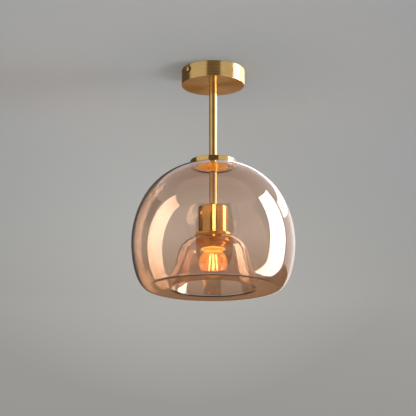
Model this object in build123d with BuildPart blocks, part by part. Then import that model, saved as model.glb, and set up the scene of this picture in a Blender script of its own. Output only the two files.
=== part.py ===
from build123d import *
import os
from math import acos, cos, degrees, radians, sin, sqrt, tan

# Semi flush ceiling light: a brass canopy and rod carry a lamp holder, and a one-piece blown glass
# globe, whose floor turns up into an inner bell, is clamped round the holder by a screwed ring.
#
# Millimetres. +Z is up. The origin is on the ceiling, at the centre of the canopy's rim, and X runs
# along the crossbar from one side screw to the other. Everything hangs below z = 0.

# ---------------------------------------------------------------- driving dimensions
# clearances
seat_gap = 0.3          # between a moving piece and the face that it seats on
thread_gap = 0.08       # radial, between a screw and its thread, both drawn as plain cylinders
slip_gap = 0.05         # radial, between fixed pieces that slide together on assembly

# canopy and ceiling bracket
canopy_radius = 50.0
canopy_height = 25.0
canopy_wall = 1.2
canopy_edge = 0.7
bar_width = 20.0
bar_thickness = 1.6
bar_corner = 2.0
ear_length = 14.0
ear_gap = 0.4
cable_hole_radius = 5.0
slot_spacing = 62.0
slot_width = 5.0
slot_length = 14.0
tab_reach = 34.0

# side screws that hold the canopy to the bracket's ears
side_screw_drop = 8.0
side_screw_radius = 2.0
side_screw_length = 9.0
side_head_radius = 3.9
side_head_height = 3.0
side_washer_radius = 4.9
side_washer_thickness = 0.8
side_head_rounding = 2.4
side_washer_rounding = 0.25

# supply terminals and earth
block_width = 33.0
block_depth = 15.0
block_height = 12.0
block_gap = 1.0
block_corner = 1.0
way_pitch = 10.0
way_radius = 1.7
clamp_screw_radius = 1.6
clamp_screw_stand = 0.8
block_screw_radius = 1.5
block_head_radius = 2.3
block_head_height = 1.8
earth_screw_offset = 15.0
earth_screw_radius = 2.0
earth_screw_length = 7.0
earth_head_radius = 3.6
earth_head_height = 2.4
tag_thickness = 0.8
tag_ring_width = 2.4
tag_barrel_length = 6.0
tag_barrel_wall = 0.4
tag_barrel_rise = 1.2
lead_radius = 1.0
lead_offset = 1.6
lead_entry = 4.0        # how far a lead's end lies inside its way in the block
lead_straight = 7.0     # how far it runs straight out of the block
lead_dip = 2.0          # how far it drops between the block and the rod
lead_clearance = 0.3
earth_loop_near = 20.2  # from the axis to the nearer side of the earth lead's loop
earth_loop_far = 27.0
earth_loop_right = 11.0
earth_loop_left = 4.0
earth_loop_high = 9.0
earth_loop_low = 17.0

# rod, the threaded nipples in its ends, and their nuts
rod_radius = 6.0
rod_length = 201.0
nipple_radius = 5.0
nipple_bore_radius = 3.9
nipple_grip = 14.0
nipple_stand = 1.5
nut_across_flats = 14.0
nut_height = 4.0
washer_radius = 9.0
washer_thickness = 1.0
bushing_lip = 0.8
bushing_depth = 6.0

# cap over the top of the glass, its hub and its collar on the rod
cap_radius = 36.0
cap_height = 7.6
cap_wall = 1.0
cap_edge = 0.8
cap_seal_width = 4.5
hub_radius = 9.0
hub_disc_radius = 23.8
hub_disc_thickness = 1.6
hub_disc_drop = 7.5
collar_radius = 7.8
collar_height = 8.0
grub_radius = 1.5
grub_stand = 0.6
grub_direction = 165.0
collar_chamfer = 0.6

# lamp holder
cup_radius = 23.0
cup_height = 41.0
cup_wall = 1.5
cup_edge = 1.2
flange_radius = 30.0
flange_thickness = 3.6
flange_neck_radius = 21.8
flange_neck_height = 2.5
flange_edge = 1.2
crown_seal_radius = 23.8
crown_seal_thickness = 1.5
sleeve_radius = 19.9
sleeve_reach = 26.6     # from the cup's lower edge down to the sleeve's mouth
sleeve_rim = 1.0
housing_radius = 19.5
housing_wall = 2.0
housing_height = 16.0
housing_neck_radius = 8.0
housing_neck_height = 6.0
insert_thickness = 6.5
insert_ledge = 2.5
shell_inner_radius = 13.35
shell_thickness = 0.5
shell_length = 23.0
contact_radius = 3.2
contact_thickness = 0.5
contact_leg = 9.0
post_radius = 2.6
post_height = 4.0
post_offset = 11.0
post_screw_radius = 1.4
post_screw_stand = 0.8

# blown glass shade, along its room side: a chain of tangent arcs from the widest level
glass_radius = 127.5
glass_wall = 2.8
shoulder_radius = 146.0
shoulder_sweep = 29.0
crown_radius = 110.0
belly_radius = 169.0
belly_sweep = 16.0
haunch_radius = 59.0
haunch_sweep = 23.0
corner_radius = 14.0
glass_hole_radius = 32.0
bell_above_widest = 8.3
bell_flat_radius = 24.0
bell_shoulder_radius = 28.2
bell_flare = 13.3
bell_fold_radius = 4.0
bell_hole_radius = 20.6

# ring that clamps the glass
ring_radius = 28.5
ring_height = 3.6
ring_plate = 1.6
ring_lip = 1.4
ring_hub_radius = 22.6
ring_hub_height = 8.0
ring_seal_radius = 23.8
ring_seal_thickness = 1.0

# bulb: a 45 mm globe on a 27 mm screw cap
bulb_radius = 22.5
bulb_length = 75.0
bulb_wall = 0.8
bulb_neck_radius = 12.4
bulb_neck_fillet = 12.0
bulb_insertion = 30.6
bulb_cap_radius = 13.2
bulb_cap_wall = 0.4
bulb_cap_length = 21.5
bulb_cap_shoulder = 1.5
bulb_cap_lip = 3.0      # from the tip contact out to the hole in the cap's end
insulator_inset = 2.5
insulator_lip = 1.0
bulb_neck_overlap = 9.0
insulator_height = 3.8
tip_radius = 4.6
tip_height = 1.6
tip_rounding = 1.0
stem_radius = 2.2
stem_base_height = 5.0
stem_length = 16.0
filament_count = 4
filament_radius = 0.9
filament_length = 29.0
filament_top_circle = 4.4
filament_foot_circle = 6.6
support_radius = 0.4

# ---------------------------------------------------------------- levels and derived places
canopy_floor = -canopy_height + canopy_wall
canopy_bore = canopy_radius - canopy_wall
ear_face = sqrt(canopy_bore**2 - (bar_width / 2) ** 2) - ear_gap
washer_top = canopy_floor + washer_thickness
canopy_tag_top = washer_top + tag_thickness
canopy_nut_top = canopy_tag_top + nut_height
upper_nipple_top = canopy_nut_top + nipple_stand

cup_top = -canopy_height - rod_length
cup_ceiling = cup_top - cup_wall
cup_bottom = cup_top - cup_height
flange_top = cup_bottom - flange_neck_height
flange_bottom = flange_top - flange_thickness
crown_seal_bottom = flange_bottom - crown_seal_thickness
bell_top = crown_seal_bottom - seat_gap
bell_underside = bell_top - glass_wall
ring_seal_bottom = bell_underside - ring_seal_thickness
ring_top = ring_seal_bottom - seat_gap
sleeve_bottom = cup_bottom - sleeve_reach
sleeve_bore = shell_inner_radius + shell_thickness + slip_gap

bulb_tip = sleeve_bottom + bulb_insertion
bulb_bottom = bulb_tip - bulb_length
bulb_cap_top = bulb_tip - tip_height - insulator_height
bulb_cap_rim = bulb_cap_top - bulb_cap_length
contact_bottom = bulb_tip + seat_gap
insert_bottom = contact_bottom + contact_thickness
insert_top = insert_bottom + insert_thickness
sleeve_top = insert_bottom + insert_ledge
housing_top = sleeve_top + housing_height
housing_bore = housing_radius - housing_wall
neck_top = housing_top + housing_neck_height
post_top = insert_top + post_height

widest_level = bell_top - bell_above_widest
crown_centre_radius = glass_radius - shoulder_radius
crown_centre_radius += (shoulder_radius - crown_radius) * cos(radians(shoulder_sweep))
crown_centre_level = widest_level + (shoulder_radius - crown_radius) * sin(radians(shoulder_sweep))


def crown_level(radius):
    """Level of the glass's outer face over the crown, at a distance from the axis."""
    return crown_centre_level + sqrt(crown_radius**2 - (radius - crown_centre_radius) ** 2)


cap_rim = crown_level(cap_radius - cap_wall) + seat_gap
cap_top = cap_rim + cap_height
cap_ceiling = cap_top - cap_wall
hub_disc_bottom = cap_ceiling - hub_disc_drop
collar_bottom = hub_disc_bottom - collar_height

os.makedirs("parts", exist_ok=True)


# ---------------------------------------------------------------- canopy and bracket
with BuildPart() as mounting_bracket:
    with BuildSketch() as bar_outline:
        Rectangle(2 * ear_face, bar_width)
        with Locations((0, tab_reach / 2)):
            Rectangle(bar_width, tab_reach)
        fillet(bar_outline.vertices().group_by(Axis.Y)[-1], bar_corner)
        Circle(cable_hole_radius, mode=Mode.SUBTRACT)
        with GridLocations(slot_spacing, 0, 2, 1):
            SlotOverall(slot_length, slot_width, mode=Mode.SUBTRACT)
        with Locations((earth_screw_offset, 0)):
            Circle(earth_screw_radius + slip_gap, mode=Mode.SUBTRACT)
        with Locations((0, tab_reach - block_depth / 2 - block_gap)):
            with GridLocations(way_pitch, 0, 2, 1):
                Circle(block_screw_radius + slip_gap, mode=Mode.SUBTRACT)
    extrude(amount=-bar_thickness)
    ear_plane = Plane.YZ.offset(ear_face - bar_thickness)
    with BuildSketch(ear_plane, ear_plane.offset(bar_thickness - 2 * ear_face)) as ears:
        with Locations((0, -ear_length / 2)):
            Rectangle(bar_width, ear_length)
        with Locations((0, -side_screw_drop)):
            Circle(side_screw_radius + thread_gap, mode=Mode.SUBTRACT)
    extrude(amount=bar_thickness)
mounting_bracket.part.label = "mounting_bracket"
export_step(mounting_bracket.part, "parts/mounting_bracket.step")

with BuildPart() as canopy:
    with BuildSketch(Plane.XY.offset(-canopy_height)):
        Circle(canopy_radius)
    extrude(amount=canopy_height)
    fillet(canopy.edges().sort_by(Axis.Z)[0], canopy_edge)
    with BuildSketch(Plane.XY.offset(canopy_floor)):
        Circle(canopy_bore)
    extrude(amount=canopy_height, mode=Mode.SUBTRACT)
    with BuildSketch(Plane.XY.offset(-canopy_height)):
        Circle(nipple_radius + slip_gap)
    extrude(amount=canopy_height, mode=Mode.SUBTRACT)
    with BuildSketch(Plane.YZ):
        with Locations((0, -side_screw_drop)):
            Circle(side_screw_radius + seat_gap)
    extrude(amount=canopy_radius, both=True, mode=Mode.SUBTRACT)
canopy.part.label = "canopy"
export_step(canopy.part, "parts/canopy.step")


def side_screw(side):
    """Domed screw on one side of the canopy: side is 1 at +X and -1 at -X."""
    seat = side * (canopy_radius + seat_gap + side_washer_thickness)
    with BuildPart() as screw:
        with BuildSketch(Plane.YZ.offset(seat)):
            with Locations((0, -side_screw_drop)):
                Circle(side_head_radius)
        extrude(amount=side * side_head_height)
        fillet(screw.edges().group_by(Axis.X)[-1 if side > 0 else 0], side_head_rounding)
        with BuildSketch(Plane.YZ.offset(seat)):
            with Locations((0, -side_screw_drop)):
                Circle(side_screw_radius)
        extrude(amount=-side * side_screw_length)
    screw.part.label = "canopy_screw_right" if side > 0 else "canopy_screw_left"
    return screw.part


def side_washer(side):
    """Dark washer under the domed head, against the canopy's wall."""
    plane = Plane.YZ.offset(side * (canopy_radius + seat_gap))
    with BuildPart() as washer:
        with BuildSketch(plane):
            with Locations((0, -side_screw_drop)):
                Circle(side_washer_radius)
                Circle(side_screw_radius + seat_gap / 2, mode=Mode.SUBTRACT)
        extrude(amount=side * side_washer_thickness)
        fillet(washer.faces().sort_by(Axis.X)[-1 if side > 0 else 0].edges().sort_by(Edge.length)[-1],
               side_washer_rounding)
    washer.part.label = "screw_washer_right" if side > 0 else "screw_washer_left"
    return washer.part


for side in (1, -1):
    for piece in (side_screw(side), side_washer(side)):
        export_step(piece, f"parts/{piece.label}.step")

# ---------------------------------------------------------------- supply terminals and earth
block_centre_y = tab_reach - block_gap - block_depth / 2
block_bottom = -bar_thickness - block_height
way_level = -bar_thickness - block_height / 2
with BuildPart() as terminal_block:
    with BuildSketch(Plane.XY.offset(-bar_thickness)):
        with Locations((0, block_centre_y)):
            RectangleRounded(block_width, block_depth, block_corner)
    extrude(amount=-block_height)
    with BuildSketch(Plane.XZ.offset(-block_centre_y + block_depth / 2)):
        with Locations((0, way_level)):
            with GridLocations(way_pitch, 0, 3, 1):
                Circle(way_radius)
    extrude(amount=-block_depth, mode=Mode.SUBTRACT)
    with BuildSketch(Plane.XY.offset(block_bottom)):
        with Locations((0, block_centre_y)):
            with GridLocations(way_pitch, block_depth / 2, 3, 2):
                Circle(clamp_screw_radius + thread_gap)
    extrude(amount=block_height / 2, mode=Mode.SUBTRACT)
    with BuildSketch(Plane.XY.offset(-bar_thickness)):
        with Locations((0, block_centre_y)):
            with GridLocations(way_pitch, 0, 2, 1):
                Circle(block_screw_radius + slip_gap)
    extrude(amount=-block_height, mode=Mode.SUBTRACT)
terminal_block.part.label = "terminal_block"
export_step(terminal_block.part, "parts/terminal_block.step")

with BuildPart() as clamp_screws:
    with BuildSketch(Plane.XY.offset(block_bottom - clamp_screw_stand)):
        with Locations((0, block_centre_y)):
            with GridLocations(way_pitch, block_depth / 2, 3, 2):
                Circle(clamp_screw_radius)
    extrude(amount=clamp_screw_stand + block_height / 2 - lead_radius)
clamp_screws.part.label = "clamp_screws"
export_step(clamp_screws.part, "parts/clamp_screws.step")

with BuildPart() as block_screws:
    with BuildSketch():
        with Locations((0, block_centre_y)):
            with GridLocations(way_pitch, 0, 2, 1):
                Circle(block_screw_radius)
    extrude(amount=block_bottom)
    with BuildSketch(Plane.XY.offset(block_bottom)):
        with Locations((0, block_centre_y)):
            with GridLocations(way_pitch, 0, 2, 1):
                Circle(block_head_radius)
    extrude(amount=-block_head_height)
block_screws.part.label = "block_screws"
export_step(block_screws.part, "parts/block_screws.step")

with BuildPart() as earth_screw:
    with BuildSketch(Plane.XY):
        with Locations((earth_screw_offset, 0)):
            Circle(earth_screw_radius)
    extrude(amount=-earth_screw_length)
    with BuildSketch(Plane.XY.offset(-bar_thickness - tag_thickness)):
        with Locations((earth_screw_offset, 0)):
            Circle(earth_head_radius)
    extrude(amount=-earth_head_height)
earth_screw.part.label = "earth_screw"
export_step(earth_screw.part, "parts/earth_screw.step")


def tag(centre, level, bore, rise):
    """Ring tag lying flat round a screw or nipple; rise is 1 if its barrel sits above it, or -1."""
    ring = bore + tag_ring_width
    barrel = lead_radius + tag_barrel_wall
    barrel_level = level + tag_thickness / 2 + rise * tag_barrel_rise
    with BuildPart() as piece:
        with BuildSketch(Plane.XY.offset(level)):
            with Locations(centre):
                Circle(ring)
            with Locations((centre[0], centre[1] - ring)):
                Rectangle(2 * barrel, 2 * tag_ring_width)
            with Locations(centre):
                Circle(bore, mode=Mode.SUBTRACT)
        extrude(amount=tag_thickness)
        with BuildSketch(Plane.XZ.offset(ring + tag_ring_width / 2 - centre[1])):
            with Locations((centre[0], barrel_level)):
                Circle(barrel)
                Circle(lead_radius, mode=Mode.SUBTRACT)
        extrude(amount=tag_barrel_length)
    return piece.part


upper_tag_level = -bar_thickness - tag_thickness
upper_tag = tag((earth_screw_offset, 0), upper_tag_level, earth_screw_radius + slip_gap, -1)
lower_tag = tag((0, 0), washer_top, nipple_radius + slip_gap, 1)
earth_tags = Compound(label="earth_tags", children=[upper_tag, lower_tag])
export_step(earth_tags, "parts/earth_tags.step")


# ---------------------------------------------------------------- rod, nipples and nuts
def turned(outline):
    """Solid of revolution about Z from a closed outline of (radius, level) points."""
    with BuildPart() as piece:
        with BuildSketch(Plane.XZ):
            with BuildLine():
                Polyline(*outline, close=True)
            make_face()
        revolve(axis=Axis.Z)
    return piece.part


def tube(outer, bore, low, high):
    """Plain ring or tube about Z between two levels."""
    with BuildPart() as piece:
        with BuildSketch(Plane.XY.offset(low)):
            Circle(outer)
            Circle(bore, mode=Mode.SUBTRACT)
        extrude(amount=high - low)
    return piece.part


def hex_nut(low):
    """Hexagon nut on a nipple, its lower face at a level."""
    with BuildPart() as nut:
        with BuildSketch(Plane.XY.offset(low)):
            RegularPolygon(nut_across_flats / 2, 6, major_radius=False)
            Circle(nipple_radius + slip_gap, mode=Mode.SUBTRACT)
        extrude(amount=nut_height)
    return nut.part


def keep(part, name):
    """Label a finished piece and write it under its name."""
    part.label = name
    export_step(part, f"parts/{name}.step")


rod = tube(rod_radius, nipple_radius + slip_gap, cup_top, -canopy_height)
keep(rod, "rod")
upper_nipple = tube(nipple_radius, nipple_bore_radius, -canopy_height - nipple_grip, upper_nipple_top)
keep(upper_nipple, "upper_nipple")
housing_ceiling = housing_top - housing_wall
lower_nipple = tube(nipple_radius, nipple_bore_radius, housing_ceiling, cup_top + nipple_grip)
keep(lower_nipple, "lower_nipple")
canopy_washer = tube(washer_radius, nipple_radius + slip_gap, canopy_floor, washer_top)
keep(canopy_washer, "canopy_washer")
keep(hex_nut(canopy_tag_top), "canopy_nut")
keep(hex_nut(cup_ceiling - nut_height), "cup_nut")

bundle_radius = lead_offset + lead_radius + 2 * slip_gap
bushing_outer = nipple_bore_radius - slip_gap
wire_bushing = turned([
    (bundle_radius, upper_nipple_top - bushing_depth),
    (bushing_outer, upper_nipple_top - bushing_depth),
    (bushing_outer, upper_nipple_top),
    (nipple_radius, upper_nipple_top),
    (nipple_radius, upper_nipple_top + bushing_lip),
    (bundle_radius, upper_nipple_top + bushing_lip),
])
keep(wire_bushing, "wire_bushing")

# ---------------------------------------------------------------- cap over the glass
with BuildPart() as shade_cap:
    with BuildSketch(Plane.XY.offset(cap_rim)):
        Circle(cap_radius)
    extrude(amount=cap_height)
    fillet(shade_cap.edges().group_by(Axis.Z)[-1], cap_edge)
    with BuildSketch(Plane.XY.offset(cap_rim)):
        Circle(cap_radius - cap_wall)
    extrude(amount=cap_height - cap_wall, mode=Mode.SUBTRACT)
    with BuildSketch(Plane.XY.offset(cap_rim)):
        Circle(rod_radius + slip_gap)
    extrude(amount=cap_height, mode=Mode.SUBTRACT)
keep(shade_cap.part, "shade_cap")

cap_seal_outer = cap_radius - cap_wall - slip_gap
cap_seal_bottom = crown_level(glass_hole_radius) + seat_gap
cap_seal = tube(cap_seal_outer, cap_seal_outer - cap_seal_width, cap_seal_bottom, cap_ceiling)
keep(cap_seal, "cap_seal")

cap_hub = turned([
    (rod_radius + slip_gap, cap_ceiling),
    (hub_radius, cap_ceiling),
    (hub_radius, hub_disc_bottom + hub_disc_thickness),
    (hub_disc_radius, hub_disc_bottom + hub_disc_thickness),
    (hub_disc_radius, hub_disc_bottom),
    (rod_radius + slip_gap, hub_disc_bottom),
])
keep(cap_hub, "cap_hub")

grub_level = hub_disc_bottom - collar_height / 2
grub_outward = Vector(1, 0, 0).rotate(Axis.Z, grub_direction)
grub_plane = Plane((0, 0, grub_level), z_dir=grub_outward)
with BuildPart() as rod_collar:
    with BuildSketch(Plane.XY.offset(collar_bottom)):
        Circle(collar_radius)
        Circle(rod_radius + slip_gap, mode=Mode.SUBTRACT)
    extrude(amount=collar_height)
    chamfer(rod_collar.edges().group_by(Axis.Z)[0].sort_by(Edge.length)[-1], collar_chamfer)
    with BuildSketch(grub_plane):
        Circle(grub_radius + slip_gap)
    extrude(amount=2 * collar_radius, mode=Mode.SUBTRACT)
keep(rod_collar.part, "rod_collar")

with BuildPart() as grub_screw:
    with BuildSketch(grub_plane.offset(rod_radius + slip_gap)):
        Circle(grub_radius)
    extrude(amount=collar_radius - rod_radius + grub_stand)
keep(grub_screw.part, "grub_screw")

# ---------------------------------------------------------------- lamp holder
with BuildPart() as holder_cup:
    with BuildSketch(Plane.XY.offset(cup_bottom)):
        Circle(cup_radius)
    extrude(amount=cup_height)
    fillet(holder_cup.edges().group_by(Axis.Z)[-1], cup_edge)
    with BuildSketch(Plane.XY.offset(cup_bottom)):
        Circle(cup_radius - cup_wall)
    extrude(amount=cup_height - cup_wall, mode=Mode.SUBTRACT)
    with BuildSketch(Plane.XY.offset(cup_bottom)):
        Circle(nipple_radius + slip_gap)
    extrude(amount=cup_height, mode=Mode.SUBTRACT)
keep(holder_cup.part, "holder_cup")

with BuildPart() as holder_flange:
    with BuildSketch(Plane.XY.offset(flange_bottom)):
        Circle(flange_radius)
    extrude(amount=flange_thickness)
    fillet(holder_flange.edges(), flange_edge)
    with BuildSketch(Plane.XY.offset(flange_top)):
        Circle(flange_neck_radius)
    extrude(amount=flange_neck_height)
    with BuildSketch(Plane.XY.offset(flange_bottom)):
        Circle(sleeve_radius + slip_gap)
    extrude(amount=cup_bottom - flange_bottom, mode=Mode.SUBTRACT)
keep(holder_flange.part, "holder_flange")

crown_seal = tube(crown_seal_radius, sleeve_radius + slip_gap, crown_seal_bottom, flange_bottom)
keep(crown_seal, "crown_seal")

insert_radius = housing_bore - slip_gap
socket_sleeve = turned([
    (sleeve_bore, sleeve_bottom),
    (sleeve_radius - sleeve_rim / 2, sleeve_bottom),
    (sleeve_radius, sleeve_bottom + sleeve_rim / 2),
    (sleeve_radius, sleeve_top),
    (housing_bore, sleeve_top),
    (housing_bore, insert_bottom),
    (sleeve_bore, insert_bottom),
])
keep(socket_sleeve, "socket_sleeve")

socket_housing = turned([
    (housing_bore, sleeve_top),
    (housing_radius, sleeve_top),
    (housing_radius, housing_top),
    (housing_neck_radius, housing_top),
    (housing_neck_radius, neck_top),
    (nipple_radius + slip_gap, neck_top),
    (nipple_radius + slip_gap, housing_ceiling),
    (housing_bore, housing_ceiling),
])
keep(socket_housing, "socket_housing")

with BuildPart() as socket_insert:
    with BuildSketch(Plane.XY.offset(insert_bottom)):
        Circle(insert_radius)
    extrude(amount=insert_thickness)
    with BuildSketch(Plane.XY.offset(insert_bottom)):
        with GridLocations(2 * post_offset, 0, 2, 1):
            Circle(post_screw_radius + slip_gap)
    extrude(amount=insert_thickness, mode=Mode.SUBTRACT)
keep(socket_insert.part, "socket_insert")

with BuildPart() as screw_shell:
    with BuildSketch(Plane.XY.offset(insert_bottom - shell_length)):
        Circle(shell_inner_radius + shell_thickness)
        Circle(shell_inner_radius, mode=Mode.SUBTRACT)
    extrude(amount=shell_length)
keep(screw_shell.part, "screw_shell")

with BuildPart() as centre_contact:
    with BuildSketch(Plane.XY.offset(contact_bottom)):
        Circle(contact_radius)
        with Locations((contact_leg / 2, 0)):
            Rectangle(contact_leg, contact_radius)
    extrude(amount=contact_thickness)
keep(centre_contact.part, "centre_contact")

post_size = 2 * post_radius
with BuildPart() as terminal_posts:
    with BuildSketch(Plane.XY.offset(insert_top)):
        with GridLocations(2 * post_offset, 0, 2, 1):
            Rectangle(post_size, post_size)
    extrude(amount=post_height)
    with BuildSketch(Plane.XY.offset(post_top)):
        with GridLocations(2 * post_offset, 0, 2, 1):
            Circle(post_screw_radius)
    extrude(amount=post_screw_stand)
    with BuildSketch(Plane.XY.offset(insert_top)):
        with GridLocations(2 * post_offset, 0, 2, 1):
            Circle(post_screw_radius)
    extrude(amount=-insert_thickness)
keep(terminal_posts.part, "terminal_posts")


# ---------------------------------------------------------------- leads
def lead(points, name):
    """Insulated lead along straight runs joined by arcs as large as the shorter run allows."""
    corners = []
    for before, corner, after in zip(points, points[1:], points[2:]):
        run_in = Vector(*corner) - Vector(*before)
        run_out = Vector(*after) - Vector(*corner)
        half_turn = radians(run_in.get_angle(run_out)) / 2
        corners.append(0.45 * min(run_in.length, run_out.length) / tan(half_turn))
    print(name, "bend radii", [round(corner, 1) for corner in corners])
    with BuildPart() as piece:
        with BuildLine() as route:
            FilletPolyline(*points, radius=corners)
        with BuildSketch(Plane(route.line @ 0, z_dir=route.line % 0)):
            Circle(lead_radius)
        sweep()
    keep(piece.part, name)


block_face = block_centre_y - block_depth / 2
bend_level = way_level - lead_dip
post_face = post_offset - post_radius
lead_end_level = insert_top + post_height / 2
for side, name in ((-1, "live_lead"), (1, "neutral_lead")):
    lead([
        (side * way_pitch, block_face + lead_entry, way_level),
        (side * way_pitch, block_face - lead_straight, way_level),
        (side * lead_offset, 0, bend_level),
        (side * lead_offset, 0, lead_end_level),
        (side * post_face, 0, lead_end_level),
    ], name)

tongue_reach = 2 * tag_ring_width + slip_gap
earth_start = (earth_screw_offset, -earth_screw_radius - tongue_reach - lead_clearance)
earth_start_level = upper_tag_level + tag_thickness / 2 - tag_barrel_rise
earth_end_level = washer_top + tag_thickness / 2 + tag_barrel_rise
lead([
    (*earth_start, earth_start_level),
    (earth_screw_offset, -earth_loop_near, earth_start_level),
    (earth_loop_right, -earth_loop_far, -earth_loop_high),
    (earth_loop_left, -earth_loop_far, -earth_loop_low),
    (0, -earth_loop_near, earth_end_level),
    (0, -nipple_radius - tongue_reach - lead_clearance, earth_end_level),
], "earth_lead")

# ---------------------------------------------------------------- glass shade
crown_sweep = degrees(acos((glass_hole_radius - crown_centre_radius) / crown_radius)) - shoulder_sweep
corner_sweep = 90.0 - belly_sweep - haunch_sweep
flare_cos = cos(radians(bell_flare))
flare_sin = sin(radians(bell_flare))
floor_level = widest_level - belly_radius * sin(radians(belly_sweep))
floor_level += haunch_radius * sin(radians(belly_sweep))
floor_level -= haunch_radius * sin(radians(belly_sweep + haunch_sweep))
floor_level += corner_radius * sin(radians(belly_sweep + haunch_sweep)) - corner_radius
wall_top = (
    bell_flat_radius + bell_shoulder_radius * flare_cos,
    bell_underside - bell_shoulder_radius * (1 - flare_sin),
)
wall_foot_level = floor_level + bell_fold_radius * (1 - flare_sin)
wall_foot = (
    wall_top[0] + (wall_top[1] - wall_foot_level) * tan(radians(bell_flare)),
    wall_foot_level,
)
with BuildPart() as shade_glass:
    with BuildSketch(Plane.XZ):
        with BuildLine():
            shoulder = JernArc((glass_radius, widest_level), (0, 1), shoulder_radius, shoulder_sweep)
            crown = JernArc(shoulder @ 1, shoulder % 1, crown_radius, crown_sweep)
            belly = JernArc((glass_radius, widest_level), (0, -1), belly_radius, -belly_sweep)
            haunch = JernArc(belly @ 1, belly % 1, haunch_radius, -haunch_sweep)
            corner = JernArc(haunch @ 1, haunch % 1, corner_radius, -corner_sweep)
            floor = Line(corner @ 1, (wall_foot[0] + bell_fold_radius * flare_cos, floor_level))
            fold = JernArc(floor @ 1, (-1, 0), bell_fold_radius, bell_flare - 90)
            wall = Line(fold @ 1, wall_top)
            bend = JernArc(wall_top, wall % 1, bell_shoulder_radius, 90 - bell_flare)
            Line(bend @ 1, (bell_hole_radius, bell_underside))
            offset(amount=glass_wall, side=Side.RIGHT)
        make_face()
    revolve(axis=Axis.Z)
keep(shade_glass.part, "shade_glass")

ring_bore = sleeve_radius + thread_gap
ring_seal = tube(ring_seal_radius, bell_hole_radius, ring_seal_bottom, bell_underside)
keep(ring_seal, "ring_seal")

shade_ring = turned([
    (ring_bore, ring_top),
    (ring_radius, ring_top),
    (ring_radius, ring_top - ring_height),
    (ring_radius - ring_lip, ring_top - ring_height),
    (ring_radius - ring_lip, ring_top - ring_plate),
    (ring_hub_radius, ring_top - ring_plate),
    (ring_hub_radius, ring_top - ring_hub_height),
    (ring_bore, ring_top - ring_hub_height),
])
keep(shade_ring, "shade_ring")

# ---------------------------------------------------------------- bulb
neck_angle = degrees(acos((bulb_neck_radius + bulb_neck_fillet) / (bulb_radius + bulb_neck_fillet)))
neck_inside_top = bulb_cap_rim + bulb_neck_overlap
with BuildPart() as bulb_glass:
    with BuildSketch(Plane.XZ):
        with BuildLine():
            globe = JernArc((0, bulb_bottom), (1, 0), bulb_radius, 90 + neck_angle)
            neck = JernArc(globe @ 1, globe % 1, bulb_neck_fillet, -neck_angle)
            Line(neck @ 1, (bulb_neck_radius, neck_inside_top))
            offset(amount=bulb_wall, side=Side.LEFT)
        make_face()
    revolve(axis=Axis.Z)
keep(bulb_glass.part, "bulb_glass")

tip_base = bulb_tip - tip_height
bulb_cap = turned([
    (bulb_cap_radius - bulb_cap_wall, bulb_cap_rim),
    (bulb_cap_radius, bulb_cap_rim),
    (bulb_cap_radius, bulb_cap_top - bulb_cap_shoulder),
    (bulb_cap_radius - bulb_cap_shoulder, bulb_cap_top),
    (tip_radius + bulb_cap_lip, bulb_cap_top),
    (tip_radius + bulb_cap_lip, bulb_cap_top - bulb_cap_wall),
    (bulb_cap_radius - bulb_cap_shoulder - bulb_cap_wall / 2, bulb_cap_top - bulb_cap_wall),
    (bulb_cap_radius - bulb_cap_wall, bulb_cap_top - bulb_cap_shoulder - bulb_cap_wall / 2),
])
keep(bulb_cap, "bulb_screw_cap")

bulb_insulator = turned([
    (0, bulb_cap_top),
    (bulb_cap_radius - insulator_inset, bulb_cap_top),
    (tip_radius + insulator_lip, tip_base - seat_gap),
    (0, tip_base - seat_gap),
])
keep(bulb_insulator, "bulb_insulator")

with BuildPart() as bulb_tip_contact:
    with BuildSketch(Plane.XY.offset(tip_base)):
        Circle(tip_radius)
    extrude(amount=tip_height)
    fillet(bulb_tip_contact.edges().group_by(Axis.Z)[-1], tip_rounding)
keep(bulb_tip_contact.part, "bulb_tip_contact")

stem_rim = bulb_neck_radius - bulb_wall - slip_gap
stem_foot = neck_inside_top - stem_base_height - stem_length
bulb_stem = turned([
    (0, neck_inside_top),
    (stem_rim, neck_inside_top),
    (stem_rim, neck_inside_top - bulb_wall),
    (2 * stem_radius, neck_inside_top - 2 * bulb_wall),
    (stem_radius, neck_inside_top - stem_base_height),
    (stem_radius, stem_foot),
    (0, stem_foot),
])
keep(bulb_stem, "bulb_stem")

filament_top = stem_foot - 2 * support_radius
filament_foot = filament_top - filament_length
filament_angles = [(turn + 0.5) * 360 / filament_count for turn in range(filament_count)]
with BuildPart() as bulb_filaments:
    for angle in filament_angles:
        top = Vector(filament_top_circle, 0, filament_top).rotate(Axis.Z, angle)
        foot = Vector(filament_foot_circle, 0, filament_foot).rotate(Axis.Z, angle)
        with BuildSketch(Plane.XY.offset(filament_top)):
            with Locations((top.X, top.Y)):
                Circle(filament_radius)
        with BuildSketch(Plane.XY.offset(filament_foot)):
            with Locations((foot.X, foot.Y)):
                Circle(filament_radius)
        loft()
keep(bulb_filaments.part, "bulb_filaments")

with BuildPart() as bulb_supports:
    with BuildSketch(Plane.XY.offset(stem_foot)):
        Circle(support_radius)
    extrude(amount=filament_foot - 2 * support_radius - stem_foot)
    for angle in filament_angles:
        for reach, level in (
            (filament_top_circle, filament_top + support_radius),
            (filament_foot_circle, filament_foot - support_radius),
        ):
            outward = Vector(1, 0, 0).rotate(Axis.Z, angle)
            with BuildSketch(Plane((0, 0, level), z_dir=outward)):
                Circle(support_radius)
            extrude(amount=reach)
keep(bulb_supports.part, "bulb_supports")
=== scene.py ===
"""Looks of the semi flush ceiling light: a brass canopy and rod, a lamp holder with its screwed ring, and a
blown globe of amber grey glass with an inner bell round a lit filament bulb.

Metres, +Z up, the origin on the ceiling at the centre of the canopy's rim. Everything hangs below z = 0.
"""
from math import acos, atan, atan2, cos, pi, radians, sin, tan

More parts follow.
